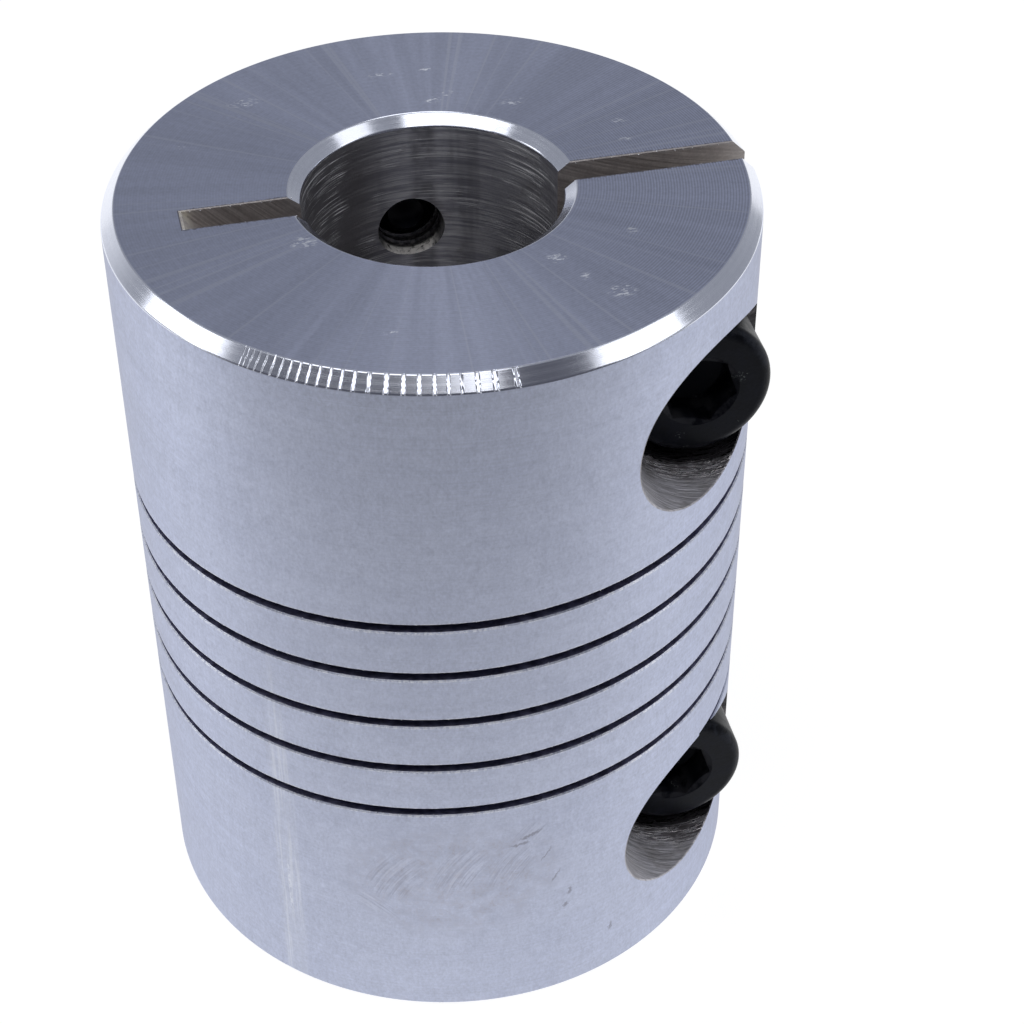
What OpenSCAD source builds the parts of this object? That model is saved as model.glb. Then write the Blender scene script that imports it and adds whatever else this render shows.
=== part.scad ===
// Spiral-cut clamping shaft coupling, turned and milled from one piece of aluminium.
// It stands on its lower end face: +Z runs along the shafts and the origin is the
// middle of that face. The clamp slits lie in the XZ plane and open towards +X.
// The heads of the clamp screws face -Y and the set screws stand on +Y.

/* [Body] */
// Outside diameter
body_d = 23.8; // [22.8:0.1:28]
// Length over both end faces
body_l = 31.75; // [31:0.05:42]
// Bevel on the outer edge of each end face
edge_bevel = 0.5; // [0.1:0.05:1]

/* [Shaft bore] */
// Diameter of the shaft bore in both hubs
bore_d = 9.525; // [6:0.005:11]
// Bevel at the mouth of the bore
mouth_bevel = 0.45; // [0.1:0.05:0.8]
// Length of the shaft bore in each hub, from its end face
seat_l = 9.6; // [8.5:0.1:10]
// Depth of the relief that keeps the waist clear of the shafts
waist_relief = 0.3; // [0.1:0.05:0.6]

/* [Spiral cut] */
// Turns that the cut makes round the waist
cut_turns = 5; // [3:1:5]
// Rise of the cut in one turn
cut_pitch = 2.33; // [1.6:0.01:2.35]
// Width of the cut
cut_w = 0.35; // [0.2:0.05:0.6]
// Diameter of the slot cutter, which rounds off both ends of the cut
cutter_d = 20; // [16:1:30]

/* [Clamp slits] */
// Width of a clamp slit
slit_w = 1.2; // [0.8:0.1:1.6]
// Distance of a slit from the axis, towards the screw heads
slit_shift = 0.2; // [0:0.05:0.4]
// Reach of a slit beyond the axis, on its blind side
slit_reach = 9.05; // [7:0.05:10]
// How far a slit runs past the start of the spiral cut
slit_overrun = 0.35; // [0.25:0.05:0.6]
// Diameter of the saw that leaves the curved floor of a slit
saw_d = 63; // [50:1:80]

/* [Clamp screws] */
// Distance from the outside of the body in to the screw axis
screw_edge = 3.7; // [3.2:0.1:4]
// Distance from the upper end face to its screw axis
screw_inset_top = 5.6; // [4:0.1:6.2]
// Distance from the lower end face to its screw axis
screw_inset_bottom = 6.6; // [4:0.1:6.6]
// Metal between the slit and the seat of the screw head
jaw_t = 3.2; // [2.5:0.1:3.8]
// Thread diameter
screw_d = 3; // [2.5:0.1:3.2]
// Length under the head
screw_l = 10; // [8:1:12]
// Diameter of the head
head_d = 5.5; // [5:0.1:6]
// Height of the head
head_h = 3; // [2.5:0.1:3.5]
// Rounding of the front edge of the head
head_round = 0.3; // [0.1:0.05:0.6]
// Key size of the socket in the head
socket_w = 2.5; // [2:0.1:2.5]
// Depth of the socket in the head
socket_t = 1.4; // [1:0.1:1.8]
// Turn of the socket about the screw axis, in degrees
socket_turn = -12.5; // [-30:0.5:30]

/* [Set screws] */
// Thread diameter
set_d = 3; // [2.5:0.1:4]
// Length
set_l = 5; // [3:0.5:6]
// Distance from each end face to the screw axis
set_inset = 4.75; // [3.5:0.05:6]
// How far the point stands back from the shaft bore
set_back = 1; // [0:0.1:1.5]
// Diameter of the cup in the point
cup_d = 1.4; // [1:0.1:2]
// Key size of the socket
set_socket_w = 1.5; // [1.3:0.1:1.5]
// Depth of the socket
set_socket_t = 1.5; // [1:0.1:2]

/* [Clearances] */
// Room around the head in its counterbore, on each side
head_room = 0.5; // [0.2:0.05:0.6]
// Room around the shank in the plain hole, on each side
shank_room = 0.2; // [0.1:0.05:0.4]
// Room around a thread in its tapped hole, on each side
thread_room = 0.02; // [0.01:0.01:0.05]

/* [Hidden] */

// Facets of a full circle, and of one turn of the spiral cut
$fn = 96;
cut_steps = 48;
// Stations along the rounded run-out at each end of the spiral cut
runout_steps = 6;
// How far a cut reaches past the surface that it opens
past = 1;

body_r = body_d / 2;
bore_r = bore_d / 2;
waist_r = bore_r + waist_relief;

// Height of one hub, up to the start of the spiral cut
hub_l = (body_l - cut_turns * cut_pitch) / 2;

// The cutter sinks a little way into the open bore, then climbs out along its own round edge
cutter_r = cutter_d / 2;
cut_floor = bore_r - 0.5;
cutter_x = cutter_r + cut_floor;
runout = acos((cutter_x * cutter_x + body_r * body_r - cutter_r * cutter_r) / (2 * cutter_x * body_r));

// The saw enters from the +X side, so its centre is set by the depth and the blind reach of the slit
saw_r = saw_d / 2;
slit_depth = hub_l + slit_overrun;
saw_rise = saw_r - slit_depth;
saw_x = sqrt(saw_r * saw_r - saw_rise * saw_rise) - slit_reach;

screw_x = body_r - screw_edge;
screw_z_top = body_l - screw_inset_top;
screw_z_bottom = screw_inset_bottom;
head_seat = slit_shift + slit_w / 2 + jaw_t;
head_hole_r = head_d / 2 + head_room;
shank_hole_r = screw_d / 2 + shank_room;
tapped_r = screw_d / 2 + thread_room;
screw_tip = 0.4;

set_tapped_r = set_d / 2 + thread_room;
set_point_y = bore_r + set_back;
set_z_top = body_l - set_inset;
set_z_bottom = set_inset;
set_edge = 0.2;

// Slope of a drilled cone floor, as its depth over its radius
drill_slope = 0.35;

// Radius at which the cut is open, for an angle measured along the cut from its upper start
function cut_inner(a) =
    let (beyond = max(-a, a - 360 * cut_turns, 0), swing = cutter_x * sin(beyond))
    cutter_x * cos(beyond) - sqrt(max(cutter_r * cutter_r - swing * swing, 0));

// Angles of the sections along the spiral cut, with the run-outs at both ends
cut_angles = [
    for (i = [0 : runout_steps - 1]) runout * (i / runout_steps - 1),
    for (i = [0 : cut_turns * cut_steps]) i * 360 / cut_steps,
    for (i = [1 : runout_steps]) 360 * cut_turns + runout * i / runout_steps
];

// The four corners of one section of the spiral cut
function cut_section(a) =
    let (z = body_l - hub_l - cut_pitch * a / 360, r_in = cut_inner(a), r_out = body_r + past)
    [
        for (corner = [[r_in, -1], [r_out, -1], [r_out, 1], [r_in, 1]])
            [corner[0] * cos(a), -corner[0] * sin(a), z + corner[1] * cut_w / 2]
    ];

// Turned blank: bevelled outside, bored through, with a wider waist between the two shaft seats
module blank() {
    rotate_extrude()
        polygon([
            [bore_r + mouth_bevel, 0],
            [body_r - edge_bevel, 0],
            [body_r, edge_bevel],
            [body_r, body_l - edge_bevel],
            [body_r - edge_bevel, body_l],
            [bore_r + mouth_bevel, body_l],
            [bore_r, body_l - mouth_bevel],
            [bore_r, body_l - seat_l],
            [waist_r, body_l - seat_l - waist_relief],
            [waist_r, seat_l + waist_relief],
            [bore_r, seat_l],
            [bore_r, mouth_bevel]
        ]);
}

// Right-hand spiral slot that turns the waist into one long flexing beam
module spiral_cut() {
    last = len(cut_angles) - 1;
    sides = [for (k = [0 : last - 1], j = [0 : 3])
        [4 * k + j, 4 * k + 4 + j, 4 * k + 4 + (j + 1) % 4, 4 * k + (j + 1) % 4]];
    polyhedron(
        points = [for (a = cut_angles) each cut_section(a)],
        faces = concat([[0, 1, 2, 3]], sides, [[for (j = [3 : -1 : 0]) 4 * last + j]])
    );
}

// Saw cut of one hub, drawn for an end face at z = 0 that looks up
module clamp_slit() {
    translate([saw_x, -slit_shift, saw_rise])
        rotate([90, 0, 0])
            cylinder(r = saw_r, h = slit_w, center = true, $fn = 240);
}

// Counterbore, plain hole up to the slit and tapped hole out through the back
module clamp_screw_hole(z) {
    translate([screw_x, 0, z])
        rotate([90, 0, 0]) {
            translate([0, 0, head_seat])
                cylinder(r = head_hole_r, h = body_r);
            translate([0, 0, slit_shift])
                cylinder(r = shank_hole_r, h = head_seat);
            translate([0, 0, -body_r - past])
                cylinder(r = tapped_r, h = body_r + past);
        }
}

// Tapped hole from the bore out through the wall on the +Y side
module set_screw_hole(z) {
    translate([0, 0, z])
        rotate([-90, 0, 0])
            cylinder(r = set_tapped_r, h = body_r + past);
}

module coupling_body() {
    color([0.72, 0.74, 0.8])
        difference() {
            blank();
            spiral_cut();
            translate([0, 0, body_l])
                clamp_slit();
            mirror([0, 0, 1])
                clamp_slit();
            clamp_screw_hole(screw_z_top);
            clamp_screw_hole(screw_z_bottom);
            set_screw_hole(set_z_top);
            set_screw_hole(set_z_bottom);
        }
}

// Six-sided key socket, open at z = 0 and going down, with a drilled floor
module key_socket(width, depth) {
    corner_r = width / sqrt(3);
    translate([0, 0, -depth])
        cylinder(r = corner_r, h = depth + past, $fn = 6);
    translate([0, 0, -depth - drill_slope * width / 2])
        cylinder(r1 = 0, r2 = width / 2, h = drill_slope * width / 2);
}

// Socket head cap screw with its seat at z = 0 and its head upwards
module cap_screw() {
    shank_r = screw_d / 2;
    head_r = head_d / 2;
    difference() {
        rotate_extrude()
            polygon(concat(
                [
                    [0, -screw_l],
                    [shank_r - screw_tip, -screw_l],
                    [shank_r, screw_tip - screw_l],
                    [shank_r, 0],
                    [head_r, 0]
                ],
                [for (a = [0 : 15 : 90])
                    [head_r - head_round * (1 - cos(a)), head_h - head_round * (1 - sin(a))]],
                [[0, head_h]]
            ));
        translate([0, 0, head_h])
            rotate([0, 0, socket_turn])
                key_socket(socket_w, socket_t);
    }
}

// Headless socket set screw with its cup point at z = 0
module set_screw() {
    set_r = set_d / 2;
    cup_r = cup_d / 2;
    difference() {
        rotate_extrude()
            polygon([
                [0, cup_r / 2],
                [cup_r, 0],
                [set_r, set_r - cup_r],
                [set_r, set_l - set_edge],
                [set_r - set_edge, set_l],
                [0, set_l]
            ]);
        translate([0, 0, set_l])
            key_socket(set_socket_w, set_socket_t);
    }
}

module clamp_screw_at(z) {
    color([0.09, 0.09, 0.1])
        translate([screw_x, -head_seat, z])
            rotate([90, 0, 0])
                cap_screw();
}

module set_screw_at(z) {
    color([0.09, 0.09, 0.1])
        translate([0, set_point_y, z])
            rotate([-90, 0, 0])
                set_screw();
}

coupling_body();
clamp_screw_at(screw_z_top);  // clamp_screw_top
clamp_screw_at(screw_z_bottom);  // clamp_screw_bottom
set_screw_at(set_z_top);  // set_screw_top
set_screw_at(set_z_bottom);  // set_screw_bottom
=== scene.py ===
"""Spiral-cut clamping shaft coupling: turned aluminium body, black cap screws and set screws.

Sizes are millimetres. Every mesh is made in millimetres and brought to metres when it is finished.
"""

from math import acos, atan2, cos, hypot, pi, radians, sin, sqrt

import bmesh
import bpy
import numpy as np
from mathutils import Matrix, Quaternion, Vector


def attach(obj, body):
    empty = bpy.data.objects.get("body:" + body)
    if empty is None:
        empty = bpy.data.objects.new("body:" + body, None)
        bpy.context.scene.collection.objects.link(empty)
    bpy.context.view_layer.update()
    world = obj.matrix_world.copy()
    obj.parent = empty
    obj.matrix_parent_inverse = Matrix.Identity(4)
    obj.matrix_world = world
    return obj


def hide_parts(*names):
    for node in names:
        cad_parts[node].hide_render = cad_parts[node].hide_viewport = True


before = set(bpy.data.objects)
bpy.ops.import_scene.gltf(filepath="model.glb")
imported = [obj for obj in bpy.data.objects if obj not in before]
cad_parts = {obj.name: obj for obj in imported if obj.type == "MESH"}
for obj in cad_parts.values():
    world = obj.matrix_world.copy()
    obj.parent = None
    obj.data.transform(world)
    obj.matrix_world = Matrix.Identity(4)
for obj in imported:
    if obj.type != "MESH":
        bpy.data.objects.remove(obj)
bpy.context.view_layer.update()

MM = 0.001
TURN = 2 * pi

# Body, as in the part's source
BODY_R = 11.9
BODY_L = 31.75
EDGE_BEVEL = 0.5
BORE_R = 4.7625
MOUTH_BEVEL = 0.45
SEAT_L = 9.6
WAIST_R = BORE_R + 0.3
WAIST_SLOPE = 0.3
CUT_TURNS = 5
CUT_PITCH = 2.33
CUT_W = 0.35
CUTTER_R = 10.0
HUB_L = (BODY_L - CUT_TURNS * CUT_PITCH) / 2
CUT_TOP = BODY_L - HUB_L
CUT_FLOOR = BORE_R - 0.5
SLIT_W = 1.2
SLIT_SHIFT = 0.2
SLIT_REACH = 9.05
SAW_R = 31.5
SAW_RISE = SAW_R - HUB_L - 0.35
SAW_X = sqrt(SAW_R ** 2 - SAW_RISE ** 2) - SLIT_REACH

# Screws and their holes, as in the part's source
SCREW_X = BODY_R - 3.7
SCREW_HEIGHTS = {"upper": BODY_L - 5.6, "lower": 6.6}
HEAD_SEAT = 4.0
HEAD_R = 2.75
HEAD_H = 3.0
SCREW_L = 10.0
SOCKET_W = 2.5
SOCKET_T = 1.4
SOCKET_TURN = radians(-12.5)
POCKET_R = 3.25
SHANK_HOLE_R = 1.7
SET_HEIGHTS = {"upper": BODY_L - 4.75, "lower": 4.75}
SET_POINT = BORE_R + 1.0
SET_L = 5.0
SET_SOCKET_W = 1.5
SET_SOCKET_T = 1.5
SET_SOCKET_TURN = 0.2

# Forms that only this scene has: the depth of the bevel at the bore's mouth, and fine shapes of the screws
MOUTH_DEPTH = 0.36
HEAD_ROUND = 0.42
HEAD_EDGE = 0.12
NECK_R = 1.48
NECK_L = 0.3
TIP_BEVEL = 0.25
CUP_R = 0.7
# Sockets: how far their lead-ins reach below and above the end, and the drill point under the key
LEAD_DEPTH = 0.2
LEAD_RISE = 0.18
SET_LEAD = 0.12
DRILL_POINT = 0.44

# Coarse M3 thread. A thread is a wound bar that starts at a radius inside the core or the drilled wall.
# Each form is its outer radius, its width there and its width at its foot.
THREAD_PITCH = 0.5
THREAD_CORE_R = 1.2
THREAD_FOOT_R = 1.1
DRILL_R = 1.26
SCREW_THREAD = (1.48, 0.04, 0.4)
TAPPED_THREAD = (1.52, 0.06, 0.44)
TAPPED_LENGTH = 14
SET_TAPPED_LENGTH = 8
SET_TAPPED_START = BORE_R + 0.7
THREAD_STATIONS = 20
# Where the cone that opens a set screw's hole towards the bore begins and ends
SET_MOUTH = (BORE_R - 0.6, BORE_R + 0.10)

# Small breaks of the sharp edges. Each wedge is a little narrower than its cut, so it clears it.
EDGE_BREAK = 0.05
HOLE_BREAK = 0.29
WEDGE_FIT = 0.98
WEDGE_RISE = 0.4

# How far cutters go past what they cut, and how finely round shapes are stepped
PAST = 1.0
LATHE_STEPS = 288
CUT_STATIONS = 96 * CUT_TURNS + 24
SAW_STEPS = 720
SCREW_STEPS = 144
POCKET_STEPS = 192
HOLE_STEPS = 96

FINISHES = ["turned_side", "faced_end", "bright_bevel", "bored_wall",
            "sawn_slit", "spiral_wall", "milled_pocket", "tapped_hole"]
ZONE = {name: index for index, name in enumerate(FINISHES)}


# Small helpers for meshes and objects

def new_object(name, data):
    made = bpy.data.objects.new(name, data)
    bpy.context.scene.collection.objects.link(made)
    return made


def mesh_from(name, points, faces, finish=0, place=None):
    """Makes a mesh with outward normals and one finish, and moves it to its place."""
    mesh = bpy.data.meshes.new(name)
    mesh.from_pydata(points, [], faces)
    shell = bmesh.new()
    shell.from_mesh(mesh)
    bmesh.ops.recalc_face_normals(shell, faces=shell.faces)
    shell.to_mesh(mesh)
    shell.free()
    for face in mesh.polygons:
        face.material_index = finish
    if place is not None:
        mesh.transform(place)
    return mesh


def settled(piece):
    """Puts the evaluated shape into the piece's own mesh and drops its modifiers."""
    layout = bpy.context.evaluated_depsgraph_get()
    mesh = bpy.data.meshes.new_from_object(piece.evaluated_get(layout))
    piece.modifiers.clear()
    piece.data = mesh
    return piece


def lathe(name, outline, steps=LATHE_STEPS, finish=0, place=None):
    """Turns a closed outline of (radius, height) points about Z. Points on the axis become poles."""
    points, rings = [], []
    for radius, height in outline:
        if radius < 1e-9:
            rings.append([len(points)] * steps)
            points.append((0, 0, height))
        else:
            rings.append(list(range(len(points), len(points) + steps)))
            points += [
                (radius * cos(TURN * k / steps), radius * sin(TURN * k / steps), height)
                for k in range(steps)
            ]
    faces = []
    for ring, following in zip(rings, rings[1:] + rings[:1]):
        for k in range(steps):
            corners = [ring[k], ring[(k + 1) % steps], following[(k + 1) % steps], following[k]]
            corners = [c for i, c in enumerate(corners) if c not in corners[:i]]
            if len(corners) > 2:
                faces.append(corners)
    return new_object(name, mesh_from(name, points, faces, finish, place))


def prism(name, section, low, high, place=None, finish=0):
    """Closed prism along Z over a section of (x, y) points."""
    count = len(section)
    points = [(x, y, low) for x, y in section] + [(x, y, high) for x, y in section]
    faces = [list(range(count)), list(range(count, 2 * count))]
    faces += [[k, (k + 1) % count, count + (k + 1) % count, count + k] for k in range(count)]
    return new_object(name, mesh_from(name, points, faces, finish, place))


def rounded(outline, eases, bends=3):
    """Swaps the outline's corners that have an ease for short arcs."""
    result = []
    count = len(outline)
    for k, (corner, ease) in enumerate(zip(outline, eases)):
        if not ease:
            result.append(corner)
            continue
        here = Vector(corner)
        before = (Vector(outline[k - 1]) - here).normalized() * ease
        after = (Vector(outline[(k + 1) % count]) - here).normalized() * ease
        for step in range(bends + 1):
            t = step / bends
            result.append(tuple(here + before * (1 - t) ** 2 + after * t ** 2))
    return result


def combine(body, tools, operation):
    """Cuts or joins closed shells, then removes the tools."""
    for tool in tools:
        step = body.modifiers.new(tool.name, "BOOLEAN")
        step.solver = "MANIFOLD"
        step.operation = operation
        step.object = tool
        for _ in FINISHES:
            tool.data.materials.append(None)
    settled(body)
    for tool in tools:
        bpy.data.objects.remove(tool)


def lying(x, z, y=0.0, towards=-1):
    """Carries a shape made about Z, growing up, to an axis along Y that grows towards -Y or +Y."""
    return Matrix.Translation((x, y, z)) @ Matrix.Rotation(radians(-90 * towards), 4, "X")


# Nodes

class Value:
    """What a node puts out. Working with it as with a number adds the maths node that does the sum."""

    def __init__(self, maker, socket):
        self.maker, self.socket = maker, socket

    def __add__(self, other):
        return self.maker.maths("ADD", self, other)

    def __sub__(self, other):
        return self.maker.maths("SUBTRACT", self, other)

    def __rsub__(self, other):
        return self.maker.maths("SUBTRACT", other, self)

    def __mul__(self, other):
        return self.maker.maths("MULTIPLY", self, other)

    def __gt__(self, other):
        return self.maker.maths("GREATER_THAN", self, other)

    def __lt__(self, other):
        return self.maker.maths("LESS_THAN", self, other)

    def __abs__(self):
        return self.maker.maths("ABSOLUTE", self)

    def ease(self, low, high, to_low=0.0, to_high=1.0):
        """Smooth step between two limits, which may fall as well as rise."""
        return self.maker.add("ShaderNodeMapRange", {
            "Value": self, "From Min": low, "From Max": high, "To Min": to_low, "To Max": to_high,
        }, interpolation_type="SMOOTHSTEP")


class NodeMaker:
    """Adds nodes to one tree. What goes into a node is a plain value or what another node puts out."""

    def __init__(self, group):
        self.group = group

    def node(self, kind, inputs=None, **settings):
        node = self.group.nodes.new(kind)
        for key, value in settings.items():
            setattr(node, key, value)
        for key, value in (inputs or {}).items():
            self.feed(node.inputs[key], value)
        return node

    def add(self, kind, inputs=None, output=0, **settings):
        return Value(self, self.node(kind, inputs, **settings).outputs[output])

    def feed(self, socket, value):
        if isinstance(value, Value):
            self.group.links.new(value.socket, socket)
        else:
            socket.default_value = value

    def maths(self, operation, *values):
        return self.add("ShaderNodeMath", dict(enumerate(values)), operation=operation)

    def larger(self, value, other):
        return self.maths("MAXIMUM", value, other)

    def parts(self, vector):
        return [Value(self, socket) for socket in self.node("ShaderNodeSeparateXYZ", {0: vector}).outputs]

    def scaled(self, vector, scale):
        return self.add("ShaderNodeVectorMath", {0: vector, "Scale": scale}, operation="SCALE")


class ShapeTree(NodeMaker):
    """One Geometry Nodes tree with named inputs. None stands for a material."""

    def __init__(self, name, inputs):
        super().__init__(bpy.data.node_groups.new(name, "GeometryNodeTree"))
        sockets = self.group.interface
        sockets.new_socket(name="Geometry", in_out="INPUT", socket_type="NodeSocketGeometry")
        kinds = {float: "NodeSocketFloat", int: "NodeSocketInt", type(None): "NodeSocketMaterial"}
        for label, value in inputs.items():
            made = sockets.new_socket(name=label, in_out="INPUT", socket_type=kinds[type(value)])
            if value is not None:
                made.default_value = value
        sockets.new_socket(name="Geometry", in_out="OUTPUT", socket_type="NodeSocketGeometry")
        self.given = {socket.name: Value(self, socket) for socket in self.node("NodeGroupInput").outputs}

    def end(self, geometry):
        real = self.add("GeometryNodeRealizeInstances", {"Geometry": geometry})
        dressed = self.add("GeometryNodeSetMaterial", {"Geometry": real, "Material": self.given["Finish"]})
        self.node("NodeGroupOutput", {0: dressed})


def grown(name, tree, values, mesh=None):
    """Makes an object from a tree with the given inputs, as a plain mesh."""
    piece = new_object(name, mesh or bpy.data.meshes.new(name))
    step = piece.modifiers.new("shape", "NODES")
    step.node_group = tree.group
    for item in tree.group.interface.items_tree:
        if item.in_out == "INPUT" and item.name in values:
            step[item.identifier] = values[item.name]
    return settled(piece)


def helix_tree():
    """A bar wound round Z with a right-hand lead: the spiral cut, and the threads."""
    tree = ShapeTree("wound_bar", {
        "First angle": 0.0, "Last angle": TURN, "Lead": 1.0, "Start height": 0.0,
        "Inner radius": 1.0, "Outer radius": 2.0, "Inner width": 0.2, "Outer width": 0.2,
        "Cut angle": TURN, "Cutter radius": 10.0, "Stations": 64, "Finish": None,
    })
    given, maths = tree.given, tree.maths
    line = tree.add("GeometryNodeCurvePrimitiveLine", {"Start": (0, 0, 0), "End": (1, 0, 0)})
    line = tree.add("GeometryNodeResampleCurve", {"Curve": line, "Count": given["Stations"]})
    section = tree.add("GeometryNodeCurvePrimitiveQuadrilateral", {"Width": 1.0, "Height": 1.0})
    bar = tree.add("GeometryNodeCurveToMesh", {"Curve": line, "Profile Curve": section, "Fill Caps": True})
    along, across, up = tree.parts(tree.add("GeometryNodeInputPosition"))
    first, last = given["First angle"], given["Last angle"]
    angle = maths("MULTIPLY_ADD", along, last - first, first)
    outward = across > 0.0

    # Past its ends the cut's floor climbs as a round cutter leaves it. Without a cutter it stays level.
    cutter, inner_width = given["Cutter radius"], given["Inner width"]
    beyond = tree.larger(tree.larger(angle * -1.0, angle - given["Cut angle"]), 0.0) * (cutter > 0.0)
    reach = cutter + given["Inner radius"]
    swing = reach * maths("SINE", beyond)
    square = cutter * cutter - swing * swing
    floor = reach * maths("COSINE", beyond) - maths("SQRT", tree.larger(square, 0.0))

    radius = maths("MULTIPLY_ADD", outward, given["Outer radius"] - floor, floor)
    width = maths("MULTIPLY_ADD", outward, given["Outer width"] - inner_width, inner_width)
    height = given["Start height"] - maths("DIVIDE", angle * given["Lead"], TURN)
    height = maths("MULTIPLY_ADD", maths("SIGN", up), width * 0.5, height)
    point = tree.add("ShaderNodeCombineXYZ", {
        0: radius * maths("COSINE", angle), 1: radius * (maths("SINE", angle) * -1.0), 2: height,
    })
    tree.end(tree.add("GeometryNodeSetPosition", {"Geometry": bar, "Position": point}))
    return tree


WOUND_BAR = helix_tree()


def wound_bar(name, finish, place=None, **values):
    """A wound bar as a closed shell. Each value is named after an input of its tree."""
    labels = {key.replace("_", " ").capitalize(): value for key, value in values.items()}
    bar = grown(name, WOUND_BAR, labels)
    points, faces = [v.co for v in bar.data.vertices], [p.vertices[:] for p in bar.data.polygons]
    bar.data = mesh_from(name, points, faces, finish, place)
    return bar


def thread(name, length, form, place, finish=0):
    """A screw thread that starts at the axis point of place and runs up for a length."""
    turns = length / THREAD_PITCH
    outer_radius, outer_width, inner_width = form
    return wound_bar(
        name, finish, place,
        first_angle=-TURN * turns, last_angle=0.0, lead=THREAD_PITCH, inner_radius=THREAD_FOOT_R,
        outer_radius=outer_radius, inner_width=inner_width, outer_width=outer_width, cutter_radius=0.0,
        stations=int(turns * THREAD_STATIONS) + 2,
    )


# Body

def body_blank():
    outline = [
        (BORE_R + MOUTH_BEVEL, 0), (BODY_R - EDGE_BEVEL, 0), (BODY_R, EDGE_BEVEL),
        (BODY_R, BODY_L - EDGE_BEVEL), (BODY_R - EDGE_BEVEL, BODY_L), (BORE_R + MOUTH_BEVEL, BODY_L),
        (BORE_R, BODY_L - MOUTH_DEPTH), (BORE_R, BODY_L - SEAT_L), (WAIST_R, BODY_L - SEAT_L - WAIST_SLOPE),
        (WAIST_R, SEAT_L + WAIST_SLOPE), (BORE_R, SEAT_L), (BORE_R, MOUTH_DEPTH),
    ]
    eases = [EDGE_BREAK] * 7 + [0] * 4 + [EDGE_BREAK]
    blank = lathe("machined_body", rounded(outline, eases))
    for _ in FINISHES:
        blank.data.materials.append(None)
    return blank


def opened_hole(name, x, z, radius, start, towards, edge_break, finish, steps=HOLE_STEPS):
    """A round cutter along Y whose mouth flares a little where it leaves the round outside."""
    points = []
    spread = edge_break + WEDGE_RISE
    for k in range(steps):
        angle = TURN * k / steps
        side = x + (radius + edge_break) * cos(angle)
        surface = sqrt(max(BODY_R ** 2 - side ** 2, 0.0))
        mouth = max(surface - edge_break, start + 0.01)
        profile = ((radius, start), (radius, mouth), (radius + spread, mouth + spread),
                   (radius + spread, BODY_R + 3))
        for reach, depth in profile:
            points.append((x + reach * cos(angle), towards * depth, z + reach * sin(angle)))
    faces = [[4 * k + j, 4 * ((k + 1) % steps) + j, 4 * ((k + 1) % steps) + j + 1, 4 * k + j + 1]
             for k in range(steps) for j in range(3)]
    faces += [[4 * k for k in range(steps)], [4 * k + 3 for k in range(steps)]]
    return new_object(name, mesh_from(name, points, faces, finish))


def spiral_cutters():
    """The spiral cut, which runs out at both ends, and the wedge that breaks its edges."""
    arm = CUTTER_R + CUT_FLOOR
    runout = acos((arm ** 2 + BODY_R ** 2 - CUTTER_R ** 2) / (2 * arm * BODY_R))
    along = {
        "first_angle": -runout, "last_angle": CUT_TURNS * TURN + runout, "cut_angle": CUT_TURNS * TURN,
        "lead": CUT_PITCH, "start_height": CUT_TOP, "stations": CUT_STATIONS,
    }
    return [
        wound_bar("spiral_cut", ZONE["spiral_wall"], inner_radius=CUT_FLOOR, outer_radius=BODY_R + PAST,
                  inner_width=CUT_W, outer_width=CUT_W, cutter_radius=CUTTER_R, **along),
        wound_bar("spiral_cut_edge", ZONE["turned_side"], inner_radius=BODY_R - EDGE_BREAK,
                  outer_radius=BODY_R + PAST, inner_width=CUT_W * WEDGE_FIT,
                  outer_width=CUT_W + 2 * (EDGE_BREAK + PAST), cutter_radius=0.0, **along),
    ]


def slit_cutters(end):
    """The clamp slit, sawn by a disc from one end face, and the wedge that breaks its edges."""
    facing = 1 if end == "upper" else -1
    face_z = BODY_L if end == "upper" else 0
    half = SLIT_W / 2
    disc = [(0, -half), (SAW_R, -half), (SAW_R, half), (0, half)]
    upright = Matrix.Rotation(radians(90), 4, "X")
    saw_place = Matrix.Translation((SAW_X, -SLIT_SHIFT, face_z + facing * SAW_RISE)) @ upright
    wedge = [(-half * WEDGE_FIT, -EDGE_BREAK), (half * WEDGE_FIT, -EDGE_BREAK),
             (half + WEDGE_RISE, WEDGE_RISE), (-half - WEDGE_RISE, WEDGE_RISE)]
    turn = Matrix(((0, 0, 1, 0), (1, 0, 0, -SLIT_SHIFT), (0, facing, 0, face_z), (0, 0, 0, 1)))
    sawn = ZONE["sawn_slit"]
    return [
        lathe(f"{end}_slit", disc, SAW_STEPS, sawn, saw_place),
        prism(f"{end}_slit_edge", wedge, -SLIT_REACH - EDGE_BREAK, BODY_R + PAST, turn, sawn),
    ]


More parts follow.
